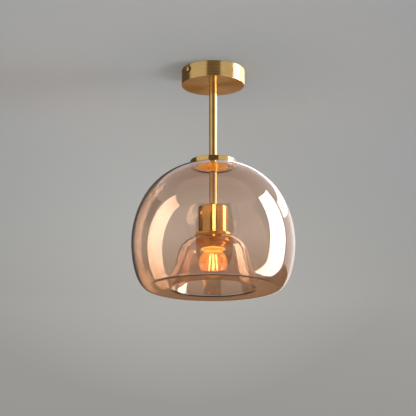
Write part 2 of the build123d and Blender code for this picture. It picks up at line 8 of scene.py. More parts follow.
import bmesh
import bpy
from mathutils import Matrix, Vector


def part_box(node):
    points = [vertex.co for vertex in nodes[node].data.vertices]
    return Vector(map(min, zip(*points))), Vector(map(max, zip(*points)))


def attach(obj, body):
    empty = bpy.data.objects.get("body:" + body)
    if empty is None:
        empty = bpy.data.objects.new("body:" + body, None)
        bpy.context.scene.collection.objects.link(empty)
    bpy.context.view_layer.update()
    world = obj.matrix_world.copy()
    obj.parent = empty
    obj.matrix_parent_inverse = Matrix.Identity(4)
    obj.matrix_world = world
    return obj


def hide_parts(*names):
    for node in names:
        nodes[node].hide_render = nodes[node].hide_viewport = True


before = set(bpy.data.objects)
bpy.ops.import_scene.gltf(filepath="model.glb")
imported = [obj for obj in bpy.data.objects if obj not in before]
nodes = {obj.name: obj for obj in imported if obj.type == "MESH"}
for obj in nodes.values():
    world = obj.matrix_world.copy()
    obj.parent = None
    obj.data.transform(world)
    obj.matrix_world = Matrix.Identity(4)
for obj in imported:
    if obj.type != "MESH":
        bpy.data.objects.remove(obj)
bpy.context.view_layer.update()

MM = 0.001
PHOTO_WIDTH = 416                   # pixels

# ---------------------------------------------------------------- camera
CAMERA_AZIMUTH = radians(-39.0)     # from looking along +Y, towards looking along -X
CAMERA_DISTANCE = 2.35              # level distance from the lamp's axis
CAMERA_LEVEL = -0.8367
CAMERA_PITCH = radians(14.548)
FOCAL_PIXELS = 1550.5
SENSOR = 36.0                       # millimetres
CAMERA_CLIP = (0.05, 60.0)
AXIS_PIXEL = 213.5                  # column of the lamp's axis in the photograph


def make_camera():
    """Camera below the lamp, looking up at it, a little to the left of its axis."""
    data = bpy.data.cameras.new("photo_camera")
    data.sensor_width = SENSOR
    data.lens = FOCAL_PIXELS / PHOTO_WIDTH * SENSOR
    data.clip_start, data.clip_end = CAMERA_CLIP
    camera = bpy.data.objects.new("photo_camera", data)
    bpy.context.scene.collection.objects.link(camera)
    ahead = Vector((-sin(CAMERA_AZIMUTH), cos(CAMERA_AZIMUTH), 0))
    camera.location = -CAMERA_DISTANCE * ahead + Vector((0, 0, CAMERA_LEVEL))
    yaw = CAMERA_AZIMUTH + atan((AXIS_PIXEL - PHOTO_WIDTH / 2) / FOCAL_PIXELS * cos(CAMERA_PITCH))
    look = Vector((-sin(yaw) * cos(CAMERA_PITCH), cos(yaw) * cos(CAMERA_PITCH), sin(CAMERA_PITCH)))
    camera.rotation_euler = look.to_track_quat("-Z", "Y").to_euler()
    bpy.context.scene.camera = camera


make_camera()


def around(azimuth, distance, level):
    """A place round the lamp, from the camera's direction towards the photograph's right, in degrees."""
    turn = CAMERA_AZIMUTH + radians(azimuth)
    return Vector((sin(turn) * distance, -cos(turn) * distance, level))


# ---------------------------------------------------------------- meshes
SMOOTH_ANGLE = radians(30)          # edges that turn by more than this stay sharp
TURNED_STEPS = 96
ON_AXIS = 1e-7


def new_object(name, mesh):
    """Object of a mesh, smooth except over sharp edges, in the scene's collection."""
    piece = bpy.data.objects.new(name, mesh)
    bpy.context.scene.collection.objects.link(piece)
    mesh.shade_smooth()
    for edge in mesh.edges:
        edge.use_edge_sharp = False
    mesh.set_sharp_from_angle(angle=SMOOTH_ANGLE)
    return piece


def turned(name, outline, steps=TURNED_STEPS, closed=True):
    """Mesh turned about Z from (radius, level) points. A point on the axis makes one vertex."""
    mesh = bpy.data.meshes.new(name)
    made = bmesh.new()
    rings = []
    for radius, level in outline:
        if radius < ON_AXIS:
            rings.append([made.verts.new((0, 0, level))])
            continue
        rings.append([
            made.verts.new((radius * cos(2 * pi * step / steps), radius * sin(2 * pi * step / steps), level))
            for step in range(steps)
        ])
    pairs = list(zip(rings, rings[1:]))
    if closed:
        pairs.append((rings[-1], rings[0]))
    for near, far in pairs:
        if len(near) == 1 and len(far) == 1:
            continue
        for step in range(steps):
            after = (step + 1) % steps
            corners = [near[step % len(near)], near[after % len(near)],
                       far[after % len(far)], far[step % len(far)]]
            made.faces.new(list(dict.fromkeys(corners)))
    bmesh.ops.recalc_face_normals(made, faces=made.faces)
    made.to_mesh(mesh)
    made.free()
    return new_object(name, mesh)


def arc(centre, radius, start, end, steps):
    """Points of an arc in the (radius, level) plane between two angles in degrees, both ends in."""
    return [
        (centre[0] + radius * cos(radians(start + (end - start) * step / steps)),
         centre[1] + radius * sin(radians(start + (end - start) * step / steps)))
        for step in range(steps + 1)
    ]


# ---------------------------------------------------------------- materials
NOISE_LOW, NOISE_HIGH = 0.3, 0.7    # a noise texture seldom leaves this range
METAL_PATCHES = 35.0
METAL_GRAIN = (60, 60, 1400)
METAL_RELIEF = 0.04 * MM
BRUSH_LINES = 1400.0
BRUSH_ROTATION = 0.25               # a quarter turn, so that reflections spread across the brush lines
SKIN_SCALE = 300.0
SKIN_RELIEF = 0.05 * MM
PAINTED_BULB_GLOW = (1.0, 0.34, 0.03)     # colour of the bulb's light, painted as a glow on the brass above it, and inside its own glass
# colour of the painted glow inside the lit bulb's glass
PAINTED_BULB_HAZE = (1.0, 0.45, 0.09)
GLASS_IOR = 1.5
GLASS_WAVE_SCALE = 18.0
GLASS_WAVE = 0.02
GLASS_WAVE_DEPTH = 2 * MM
GOLD_SHARE = 0.16                   # the share of the light that the gold film mirrors
GOLD_FILM = (0.97, 0.82, 0.65)
AMBER_SOAK = ((0.80, 0.32, 0.26), 43.0)
DEEPER_FROM, DEEPER_TO = -0.285, -0.350     # levels between which the tint deepens towards the floor
DEEPER_TINT = (0.84, 0.74, 0.66)
FILAMENT_GRAIN = 900.0


def principled(name, colour, roughness, metallic=0.0):
    """A new material and its shader, with the plain values set on the shader's own sockets."""
    material = bpy.data.materials.new(name)
    material.use_nodes = True
    shader = material.node_tree.nodes["Principled BSDF"]
    shader.inputs["Base Color"].default_value = (*colour, 1)
    shader.inputs["Roughness"].default_value = roughness
    shader.inputs["Metallic"].default_value = metallic
    return material, shader


def node(material, kind, **settings):
    """A node in a material, with its settings."""
    made = material.node_tree.nodes.new(kind)
    for name, value in settings.items():
        setattr(made, name, value)
    return made


def link(material, source, target):
    material.node_tree.links.new(source, target)


def noise(material, scale, detail=3.0, stretch=(1, 1, 1)):
    """Noise over the object's own coordinates, stretched along its axes."""
    place = node(material, "ShaderNodeTexCoord")
    mapping = node(material, "ShaderNodeMapping")
    mapping.inputs["Scale"].default_value = stretch
    link(material, place.outputs["Object"], mapping.inputs["Vector"])
    texture = node(material, "ShaderNodeTexNoise")
    texture.inputs["Scale"].default_value = scale
    texture.inputs["Detail"].default_value = detail
    link(material, mapping.outputs["Vector"], texture.inputs["Vector"])
    return texture


def spread(material, source, low, high):
    """A value between two others that follows a texture."""
    ranged = node(material, "ShaderNodeMapRange")
    ranged.inputs["From Min"].default_value = NOISE_LOW
    ranged.inputs["From Max"].default_value = NOISE_HIGH
    ranged.inputs["To Min"].default_value = low
    ranged.inputs["To Max"].default_value = high
    link(material, source, ranged.inputs["Value"])
    return ranged.outputs["Result"]


def tinted(material, source, dark, light):
    """A colour between two others that follows a texture."""
    ramp = node(material, "ShaderNodeValToRGB")
    ramp.color_ramp.elements[0].position = NOISE_LOW
    ramp.color_ramp.elements[1].position = NOISE_HIGH
    ramp.color_ramp.elements[0].color = (*dark, 1)
    ramp.color_ramp.elements[1].color = (*light, 1)
    link(material, source, ramp.inputs["Fac"])
    return ramp.outputs["Color"]


def blend(material, factor, first, second):
    """A colour between two others."""
    mix = node(material, "ShaderNodeMix", data_type="RGBA")
    mix.inputs["A"].default_value = (*first, 1)
    mix.inputs["B"].default_value = (*second, 1)
    link(material, factor, mix.inputs["Factor"])
    return mix.outputs["Result"]


def multiplied(material, first, second):
    """One colour times another."""
    mix = node(material, "ShaderNodeMix", data_type="RGBA", blend_type="MULTIPLY")
    mix.inputs["Factor"].default_value = 1.0
    link(material, first, mix.inputs["A"])
    link(material, second, mix.inputs["B"])
    return mix.outputs["Result"]


def bumped(material, shader, source, strength, distance):
    """Fine relief that follows a texture."""
    bump = node(material, "ShaderNodeBump")
    bump.inputs["Strength"].default_value = strength
    bump.inputs["Distance"].default_value = distance
    link(material, source, bump.inputs["Height"])
    link(material, bump.outputs["Normal"], shader.inputs["Normal"])


def turning_marks(material, scale):
    """Noise that runs round the upright axis, as the lines that a brush leaves on a turned piece."""
    place = node(material, "ShaderNodeTexCoord")
    apart = node(material, "ShaderNodeSeparateXYZ")
    link(material, place.outputs["Object"], apart.inputs["Vector"])
    flat = node(material, "ShaderNodeVectorMath", operation="MULTIPLY")
    flat.inputs[1].default_value = (1, 1, 0)
    link(material, place.outputs["Object"], flat.inputs[0])
    radius = node(material, "ShaderNodeVectorMath", operation="LENGTH")
    link(material, flat.outputs["Vector"], radius.inputs[0])
    section = node(material, "ShaderNodeCombineXYZ")
    link(material, radius.outputs["Value"], section.inputs["X"])
    link(material, apart.outputs["Z"], section.inputs["Z"])
    texture = node(material, "ShaderNodeTexNoise")
    texture.inputs["Scale"].default_value = scale
    texture.inputs["Detail"].default_value = 3.0
    link(material, section.outputs["Vector"], texture.inputs["Vector"])
    return texture


def metal(name, dark, light, rough_low, rough_high, relief=0.08, brush_lines=0.0):
    """Metal with slight patches of colour, uneven gloss and fine marks, which run round it where brushed."""
    material, shader = principled(name, light, rough_low, 1.0)
    patches = noise(material, METAL_PATCHES)
    link(material, tinted(material, patches.outputs["Fac"], dark, light), shader.inputs["Base Color"])
    marks = turning_marks(material, brush_lines) if brush_lines else noise(material, 1.0, 2.0, METAL_GRAIN)
    link(material, spread(material, marks.outputs["Fac"], rough_low, rough_high), shader.inputs["Roughness"])
    bumped(material, shader, marks.outputs["Fac"], relief, METAL_RELIEF)
    return material


def brushed(name, dark, light, rough_low, rough_high, stretch=0.9):
    """Metal brushed round its own upright axis, lacquered: its reflections spread across the brush lines."""
    material = metal(name, dark, light, rough_low, rough_high, 0.05, BRUSH_LINES)
    shader = material.node_tree.nodes["Principled BSDF"]
    shader.inputs["Anisotropic"].default_value = stretch
    shader.inputs["Anisotropic Rotation"].default_value = BRUSH_ROTATION
    round_axis = node(material, "ShaderNodeTangent", direction_type="RADIAL", axis="Z")
    link(material, round_axis.outputs["Tangent"], shader.inputs["Tangent"])
    return material


def brass_with_painted_glow(name, dark, light, rough_low, rough_high, glow, painted_glow_colour=PAINTED_BULB_GLOW):
    """Brushed brass close above the lit bulb, with the bulb's warm light painted on it as a glow."""
    material = brushed(name, dark, light, rough_low, rough_high, 0.8)
    shader = material.node_tree.nodes["Principled BSDF"]
    shader.inputs["Emission Color"].default_value = (*painted_glow_colour, 1)
    shader.inputs["Emission Strength"].default_value = glow
    return material


def plain(name, dark, light, rough_low, rough_high):
    """Moulded, rubber or glazed surface with slight mottling and a fine uneven skin."""
    material, shader = principled(name, light, rough_low)
    skin = noise(material, SKIN_SCALE)
    link(material, tinted(material, skin.outputs["Fac"], dark, light), shader.inputs["Base Color"])
    link(material, spread(material, skin.outputs["Fac"], rough_low, rough_high), shader.inputs["Roughness"])
    bumped(material, shader, skin.outputs["Fac"], 0.1, SKIN_RELIEF)
    return material


def striped(name, first, second):
    """Insulation in two colours that run along the lead side by side."""
    material, shader = principled(name, first, 0.42)
    skin = noise(material, SKIN_SCALE)
    link(material, spread(material, skin.outputs["Fac"], 0.38, 0.50), shader.inputs["Roughness"])
    bumped(material, shader, skin.outputs["Fac"], 0.1, SKIN_RELIEF)
    facing = node(material, "ShaderNodeNewGeometry")
    apart = node(material, "ShaderNodeSeparateXYZ")
    link(material, facing.outputs["Normal"], apart.inputs["Vector"])
    edge = node(material, "ShaderNodeMath", operation="GREATER_THAN")
    edge.inputs[1].default_value = 0.1
    link(material, apart.outputs["Z"], edge.inputs[0])
    link(material, blend(material, edge.outputs["Value"], first, second), shader.inputs["Base Color"])
    return material


def lamps_through(material, shader, tint):
    """Lets the lamps' light straight through glass, so that what is inside it is lit."""
    path = node(material, "ShaderNodeLightPath")
    clear = node(material, "ShaderNodeBsdfTransparent")
    clear.inputs["Color"].default_value = (*tint, 1)
    mix = node(material, "ShaderNodeMixShader")
    link(material, path.outputs["Is Shadow Ray"], mix.inputs["Fac"])
    link(material, shader.outputs["BSDF"], mix.inputs[1])
    link(material, clear.outputs["BSDF"], mix.inputs[2])
    link(material, mix.outputs["Shader"], material.node_tree.nodes["Material Output"].inputs["Surface"])


def gold_coated(material, shader, tint):
    """Mirrors gold where the mesh says that it is coated, and deepens the tint towards the shade's floor."""
    film = node(material, "ShaderNodeAttribute", attribute_name="coated")
    share = node(material, "ShaderNodeMapRange")
    share.inputs["To Max"].default_value = GOLD_SHARE
    link(material, film.outputs["Fac"], share.inputs["Value"])
    link(material, share.outputs["Result"], shader.inputs["Metallic"])
    place = node(material, "ShaderNodeTexCoord")
    apart = node(material, "ShaderNodeSeparateXYZ")
    link(material, place.outputs["Object"], apart.inputs["Vector"])
    low = node(material, "ShaderNodeMapRange", interpolation_type="SMOOTHSTEP")
    low.inputs["From Min"].default_value = DEEPER_FROM
    low.inputs["From Max"].default_value = DEEPER_TO
    link(material, apart.outputs["Z"], low.inputs["Value"])
    skin = blend(material, film.outputs["Fac"], tint, GOLD_FILM)
    deeper = blend(material, low.outputs["Result"], (1, 1, 1), DEEPER_TINT)
    link(material, multiplied(material, skin, deeper), shader.inputs["Base Color"])


def soaked(material, colour, density):
    """Tints the glass through, more where it is thicker along the eye's way."""
    absorb = node(material, "ShaderNodeVolumeAbsorption")
    absorb.inputs["Color"].default_value = (*colour, 1)
    absorb.inputs["Density"].default_value = density
    link(material, absorb.outputs["Volume"], material.node_tree.nodes["Material Output"].inputs["Volume"])


def glass(name, tint, shadow_tint, coated=False, soak=None, glow=0.0):
    """Blown glass: tinted, fire polished, with slow waves in its surface.

    Soak is the colour and density of the tint inside it, and glow the painted warm light that hangs in a lit
    bulb.
    """
    material, shader = principled(name, tint, 0.0)
    shader.inputs["Transmission Weight"].default_value = 1.0
    shader.inputs["IOR"].default_value = GLASS_IOR
    shader.inputs["Emission Color"].default_value = (*PAINTED_BULB_HAZE, 1)
    shader.inputs["Emission Strength"].default_value = glow
    waves = noise(material, GLASS_WAVE_SCALE, 1.0)
    bumped(material, shader, waves.outputs["Fac"], GLASS_WAVE, GLASS_WAVE_DEPTH)
    lamps_through(material, shader, shadow_tint)
    if coated:
        gold_coated(material, shader, tint)
    if soak:
        soaked(material, *soak)
    return material


def glowing(name, colour, glow, strength):
    """Coated filament strip, lit, a little uneven along its length."""
    material, shader = principled(name, colour, 0.5)
    grain = noise(material, FILAMENT_GRAIN)
    link(material, tinted(material, grain.outputs["Fac"], tuple(0.85 * part for part in colour), colour),
         shader.inputs["Base Color"])
    shader.inputs["Emission Color"].default_value = (*glow, 1)
    shader.inputs["Emission Strength"].default_value = strength
    return material


BRASS = metal("lacquered_brass", (0.70, 0.45, 0.16), (0.78, 0.53, 0.21), 0.10, 0.17)
BRUSHED_BRASS = brushed("brushed_brass", (0.67, 0.43, 0.16), (0.77, 0.53, 0.22), 0.22, 0.32)
SATIN = ((0.69, 0.44, 0.16), (0.77, 0.52, 0.21))
SATIN_BRASS = brushed("satin_brass", *SATIN, 0.12, 0.20, 0.8)
# brass near the bulb, with the bulb's light painted on as a glow, brightest at the socket's mouth
HUB_BRASS_PAINTED_GLOW = brass_with_painted_glow("hub_brass_painted_glow", *SATIN, 0.16, 0.24, 0.45)
MOUTH_BRASS_PAINTED_GLOW = brass_with_painted_glow("mouth_brass_painted_glow", *SATIN, 0.16, 0.24, 2.2, (1.0, 0.55, 0.14))
RING_BRASS_PAINTED_GLOW = brass_with_painted_glow("ring_brass_painted_glow", *SATIN, 0.14, 0.22, 0.12)
ZINC = metal("zinc_plate", (0.50, 0.50, 0.50), (0.62, 0.62, 0.62), 0.25, 0.40)
NICKEL = metal("nickel_plate", (0.66, 0.62, 0.54), (0.76, 0.72, 0.64), 0.14, 0.24)
TERMINAL = metal("terminal_brass", (0.62, 0.48, 0.24), (0.74, 0.60, 0.34), 0.25, 0.38)
SOLDER = metal("solder", (0.50, 0.50, 0.50), (0.68, 0.68, 0.68), 0.28, 0.45)
WIRE = metal("support_wire", (0.50, 0.48, 0.44), (0.62, 0.60, 0.56), 0.25, 0.35)
DARK_WASHER = plain("dark_washer", (0.030, 0.022, 0.018), (0.055, 0.042, 0.035), 0.30, 0.42)
NYLON = plain("milky_nylon", (0.76, 0.74, 0.67), (0.86, 0.84, 0.78), 0.40, 0.50)
PORCELAIN = plain("white_glaze", (0.80, 0.78, 0.71), (0.86, 0.84, 0.78), 0.10, 0.20)
SILICONE = plain("silicone", (0.56, 0.54, 0.50), (0.68, 0.66, 0.62), 0.35, 0.50)
VITRITE = plain("black_glass", (0.02, 0.02, 0.02), (0.05, 0.05, 0.05), 0.08, 0.16)
BROWN = plain("brown_insulation", (0.20, 0.09, 0.04), (0.28, 0.13, 0.06), 0.38, 0.50)
BLUE = plain("blue_insulation", (0.04, 0.14, 0.42), (0.07, 0.20, 0.52), 0.38, 0.50)
EARTH = striped("green_yellow_insulation", (0.08, 0.34, 0.07), (0.74, 0.64, 0.06))
AMBER_GLASS = glass("amber_grey_glass", (0.93, 0.93, 0.93), (0.94, 0.87, 0.80), True, AMBER_SOAK)
CLEAR_GLASS = glass("clear_glass", (0.98, 0.97, 0.94), (0.97, 0.95, 0.90))
BULB_GLASS = glass("bulb_glass_lit", (0.98, 0.93, 0.82), (0.97, 0.93, 0.84), glow=0.38)
FILAMENT = glowing("lit_filament", (1.0, 0.82, 0.45), (1.0, 0.76, 0.40), 6.0)

FINISHES = {
    BRASS: ("canopy_screw_left", "canopy_screw_right"),
    BRUSHED_BRASS: ("canopy",),
    SATIN_BRASS: ("rod", "shade_cap", "holder_cup"),
    HUB_BRASS_PAINTED_GLOW: ("cap_hub", "rod_collar"),
    RING_BRASS_PAINTED_GLOW: ("holder_flange", "shade_ring", "socket_sleeve"),
    ZINC: ("mounting_bracket", "canopy_washer", "canopy_nut", "cup_nut", "upper_nipple", "lower_nipple",
           "block_screws", "clamp_screws", "grub_screw"),
    NICKEL: ("screw_shell", "bulb_screw_cap"),
    TERMINAL: ("earth_screw", "earth_tags", "centre_contact", "terminal_posts"),
    SOLDER: ("bulb_tip_contact",),
    WIRE: ("bulb_supports",),
    DARK_WASHER: ("screw_washer_left", "screw_washer_right"),
    NYLON: ("terminal_block",),
    PORCELAIN: ("socket_housing", "socket_insert"),
    SILICONE: ("cap_seal", "crown_seal", "ring_seal", "wire_bushing"),
    VITRITE: ("bulb_insulator",),
    BROWN: ("live_lead",),
    BLUE: ("neutral_lead",),
    EARTH: ("earth_lead",),
    AMBER_GLASS: ("shade_glass",),
    BULB_GLASS: ("bulb_glass",),
    CLEAR_GLASS: ("bulb_stem",),
    FILAMENT: ("bulb_filaments",),
}


def finish_nodes():
    """Gives every carried-over node its material."""
    for material, names in FINISHES.items():
        for name in names:
            mesh = nodes[name].data
            mesh.materials.clear()
            mesh.materials.append(material)


finish_nodes()

# ---------------------------------------------------------------- glass shade
GLASS_WALL = 2.8 * MM
GLASS_RADIUS = 127.5 * MM
WIDEST_LEVEL = -283.2 * MM
CROWN_HOLE_RADIUS = 32.0 * MM
BELL_UNDERSIDE = -277.7 * MM
BELL_HOLE_RADIUS = 20.6 * MM
BELL_FLAT_RADIUS = 24.0 * MM
BELL_SHOULDER_RADIUS = 28.2 * MM
BELL_SHOULDER_STEPS = 18
BELL_FLARE = 13.3                   # degrees off upright
BELL_FOLD_RADIUS = 4.0 * MM
BELL_FOLD_STEPS = 10
CROWN_RADIUS = 110.0 * MM
CROWN_STEPS = 24
SHOULDER = (146.0 * MM, 29.0, 14)   # radius, sweep in degrees and steps of each of these three arcs
BELLY = (169.0 * MM, 16.0, 10)
HAUNCH = (59.0 * MM, 23.0, 10)
CORNER_RADIUS = 14.0 * MM
CORNER_STEPS = 14
SHADE_STEPS = 160                   # round the axis


def outer_side(inset):
    """The globe's section from the crown's hole down to the floor, moved in by the inset."""
    shoulder_radius, shoulder_sweep, shoulder_steps = SHOULDER
    belly_radius, belly_sweep, belly_steps = BELLY
    haunch_radius, haunch_sweep, haunch_steps = HAUNCH
    upper = (GLASS_RADIUS - shoulder_radius, WIDEST_LEVEL)
    lean = radians(shoulder_sweep)
    crown = (upper[0] + (shoulder_radius - CROWN_RADIUS) * cos(lean),
             upper[1] + (shoulder_radius - CROWN_RADIUS) * sin(lean))
    hole_angle = acos((CROWN_HOLE_RADIUS - crown[0]) / CROWN_RADIUS) * 180 / pi
    lower = (GLASS_RADIUS - belly_radius, WIDEST_LEVEL)
    turn = radians(belly_sweep)
    haunch = (lower[0] + (belly_radius - haunch_radius) * cos(turn),
              lower[1] - (belly_radius - haunch_radius) * sin(turn))
    second = radians(belly_sweep + haunch_sweep)
    corner = (haunch[0] + (haunch_radius - CORNER_RADIUS) * cos(second),
              haunch[1] - (haunch_radius - CORNER_RADIUS) * sin(second))
    foot = belly_sweep + haunch_sweep
    points = arc(crown, CROWN_RADIUS - inset, hole_angle, shoulder_sweep, CROWN_STEPS)
    points += arc(upper, shoulder_radius - inset, shoulder_sweep, 0, shoulder_steps)[1:]
    points += arc(lower, belly_radius - inset, 0, -belly_sweep, belly_steps)[1:]
    points += arc(haunch, haunch_radius - inset, -belly_sweep, -foot, haunch_steps)[1:]
    points += arc(corner, CORNER_RADIUS - inset, -foot, -90, CORNER_STEPS)[1:]
    return points


def bell_side(floor_level, inset):
    """The bell's section from its fold at the floor up to the hole on top of it."""
    flare = radians(BELL_FLARE)
    shoulder = (BELL_FLAT_RADIUS, BELL_UNDERSIDE - BELL_SHOULDER_RADIUS)
    wall_top = (shoulder[0] + BELL_SHOULDER_RADIUS * cos(flare),
                shoulder[1] + BELL_SHOULDER_RADIUS * sin(flare))
    foot_level = floor_level + BELL_FOLD_RADIUS * (1 - sin(flare))
    foot_radius = wall_top[0] + (wall_top[1] - foot_level) * tan(flare)
    fold = (foot_radius + BELL_FOLD_RADIUS * cos(flare), floor_level + BELL_FOLD_RADIUS)
    points = arc(fold, BELL_FOLD_RADIUS - inset, 270, 180 + BELL_FLARE, BELL_FOLD_STEPS)
    points += arc(shoulder, BELL_SHOULDER_RADIUS + inset, BELL_FLARE, 90, BELL_SHOULDER_STEPS)
    return points + [(BELL_HOLE_RADIUS, BELL_UNDERSIDE + inset)]


def make_glass_shade():
    """The one-piece shade, turned finely: plain on its room side, gold coated on its cavity side."""
    outside = outer_side(0.0)
    inside = outer_side(GLASS_WALL)
    floor_level = outside[-1][1]
    room_side = outside + bell_side(floor_level, 0.0)
    cavity_side = inside + bell_side(floor_level, GLASS_WALL)
    shade = turned("glass_shade", room_side + cavity_side[::-1], SHADE_STEPS)
    shade.data.materials.append(AMBER_GLASS)
    rings = len(room_side) + len(cavity_side)
    coated = shade.data.attributes.new("coated", "FLOAT", "FACE")
    for band in range(len(room_side), rings - 1):
        for step in range(SHADE_STEPS):
            coated.data[band * SHADE_STEPS + step].value = 1.0
    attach(shade, "shade")
    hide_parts("shade_glass")


make_glass_shade()

# ---------------------------------------------------------------- threads
SLEEVE_TOP = -259.7 * MM
SLEEVE_THREAD_TOP = -273.5 * MM
SLEEVE_BOTTOM = -293.6 * MM
SLEEVE_RADIUS = 19.9 * MM
SLEEVE_BORE = 13.9 * MM
SLEEVE_RIM = 0.5 * MM               # bevel at the foot
SLEEVE_RECESS_RADIUS = 17.5 * MM    # the recess in its top
SLEEVE_RECESS_FLOOR = -262.2 * MM
SLEEVE_PITCH = 2.5 * MM
SLEEVE_THREAD_DEPTH = 0.7 * MM
PAINTED_GLOW_HEIGHT = 12 * MM              # how far up the bore the bulb's light is painted on as a glow
CAP_TOP = -268.4 * MM
CAP_RIM = -289.9 * MM
CAP_RADIUS = 13.2 * MM
CAP_WALL = 0.4 * MM
CAP_SHOULDER = 1.5 * MM
CAP_END_HOLE = 7.6 * MM             # radius
CAP_PITCH = 3.629 * MM
CAP_SKIRT = 4.0 * MM
CAP_NECK_OVERLAP = 9.0 * MM         # where the glass neck lies inside the cap
CAP_THREAD_DEPTH = 0.95 * MM
CAP_NECK_THREAD_DEPTH = 0.35 * MM
RINGS_A_TURN = 8                    # rings of vertices for each turn of a thread
THREAD_SKIN = 0.01 * MM             # how far inside the outer wall a vertex still belongs to it


def levels(high, low, pitch):
    """Levels from high down to low, RINGS_A_TURN to each turn of the thread."""
    count = int(round((high - low) / pitch * RINGS_A_TURN))
    return [high + (low - high) * step / count for step in range(count + 1)]


def cut_thread(piece, low, high, pitch, depth_at):
    """Cuts a round right-hand thread into the outer wall between two levels."""
    crest = max(vertex.co.xy.length for vertex in piece.data.vertices if low < vertex.co.z < high)
    for vertex in piece.data.vertices:
        radius, level = vertex.co.xy.length, vertex.co.z
        if radius < crest - THREAD_SKIN or not low < level < high:
            continue
        turn = atan2(vertex.co.y, vertex.co.x) / (2 * pi)
        fade = min(1.0, (level - low) / (0.5 * pitch), (high - level) / (0.5 * pitch))
        cut = depth_at(level) * fade * (0.5 - 0.5 * cos(2 * pi * (level / pitch - turn)))
        vertex.co.xy *= (radius - cut) / radius
    piece.data.update()


def cap_thread_depth(level):
    """Shallow over the glass neck, full above it."""
    return CAP_NECK_THREAD_DEPTH if level < CAP_RIM + CAP_NECK_OVERLAP else CAP_THREAD_DEPTH


def make_bulb_cap():
    """Thin rolled screw cap with its thread, plain skirt and turned-in end."""
    inner, wall_top = CAP_RADIUS - CAP_WALL, CAP_TOP - CAP_SHOULDER
    outline = [(CAP_END_HOLE, CAP_TOP), (CAP_RADIUS - CAP_SHOULDER, CAP_TOP)]
    outline += [(CAP_RADIUS, level) for level in levels(wall_top, CAP_RIM, CAP_PITCH)]
    outline += [(inner, CAP_RIM), (inner, wall_top)]
    outline += [(inner - CAP_SHOULDER, CAP_TOP - CAP_WALL), (CAP_END_HOLE, CAP_TOP - CAP_WALL)]
    piece = turned("bulb_cap_threaded", outline)
    cut_thread(piece, CAP_RIM + CAP_SKIRT, wall_top, CAP_PITCH, cap_thread_depth)
    piece.data.materials.append(NICKEL)
    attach(piece, "bulb")
    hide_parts("bulb_screw_cap")


def make_sleeve():
    """The holder's sleeve with the thread that carries the shade ring, and the bulb's light painted as a glow
    low in its bore.
    """
    foot = SLEEVE_BOTTOM + SLEEVE_RIM
    outline = [(SLEEVE_BORE, SLEEVE_BOTTOM), (SLEEVE_RADIUS - SLEEVE_RIM, SLEEVE_BOTTOM)]
    outline += [(SLEEVE_RADIUS, level) for level in reversed(levels(SLEEVE_THREAD_TOP, foot, SLEEVE_PITCH))]
    outline += [(SLEEVE_RADIUS, SLEEVE_TOP), (SLEEVE_RECESS_RADIUS, SLEEVE_TOP)]
    outline += [(SLEEVE_RECESS_RADIUS, SLEEVE_RECESS_FLOOR), (SLEEVE_BORE, SLEEVE_RECESS_FLOOR)]
    piece = turned("sleeve_threaded", outline)
    cut_thread(piece, foot, SLEEVE_THREAD_TOP, SLEEVE_PITCH, lambda level: SLEEVE_THREAD_DEPTH)
    piece.data.materials.append(RING_BRASS_PAINTED_GLOW)
    piece.data.materials.append(MOUTH_BRASS_PAINTED_GLOW)
    # faces low in the bore take the brass with the bulb's painted glow
    for face in piece.data.polygons:
        inside = face.center.xy.length < SLEEVE_RADIUS - 2 * SLEEVE_RIM
        if inside and face.center.z < SLEEVE_BOTTOM + PAINTED_GLOW_HEIGHT:
            face.material_index = 1
    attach(piece, "root")
    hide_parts("socket_sleeve")


make_bulb_cap()
make_sleeve()

# ---------------------------------------------------------------- room and light
ROOM_RADIUS = 6.5
ROOM_COVE = 0.8
ROOM_STEPS = 128
COVE_STEPS = 12
FLOOR_LEVEL = -7.0
CEILING_LEVEL = 0.0004
CEILING_RINGS = (1.0, 3.0)          # radii where the ceiling's mesh is divided
NEAR_DEPTH, FAR_DEPTH = -0.3, 2.2   # behind the lamp, where the near paint's painted shade ends and the far paint begins
# darker, cooler paint near the lamp: painted shade
PAINTED_SHADE_NEAR_LAMP = (0.276, 0.298, 0.312)
ROOM_PAINT_FAR = (0.384, 0.380, 0.370)
POOL_AZIMUTH = 188                  # the pool of light painted behind the lamp
POOL_BEHIND = 1.0
POOL_HALF_WIDTH = 0.68
POOL_HALF_DEPTH = 3.2
PAINTED_POOL_GAIN = (1.42, 1.41, 1.37)
CARD_STEPS = 24
LID_STEPS = 32
STRIP_AZIMUTH = 5.0                 # the strip lamp stands for the bulb as the front of the globe mirrors it
STRIP_DISTANCE = 0.042
STRIP_LEVELS = (-0.264, -0.219)
STRIP_WIDTH = 0.011
BULB_LIGHT_RADIUS = 0.012
SURROUNDINGS = ((1.0, 0.99, 0.975), 0.72)


def bounces(material, *kinds):
    """A factor that is 1 once a ray has bounced in any of these ways, or meets a surface from behind."""
    path = node(material, "ShaderNodeLightPath")
    total = None
    for kind in kinds:
        holder = path if kind in path.outputs else node(material, "ShaderNodeNewGeometry")
        source = holder.outputs[kind]
        if total is None:
            total = source
            continue
        both = node(material, "ShaderNodeMath", operation="ADD", use_clamp=True)
        link(material, total, both.inputs[0])
        link(material, source, both.inputs[1])
        total = both.outputs["Value"]
    return total


def mixed(material, factor, first, second):
    """Shows the first shader where the factor is 0 and the second where it is 1."""
    mix = node(material, "ShaderNodeMixShader")
    link(material, factor, mix.inputs["Fac"])
    link(material, first, mix.inputs[1])
    link(material, second, mix.inputs[2])
    link(material, mix.outputs["Shader"], material.node_tree.nodes["Material Output"].inputs["Surface"])


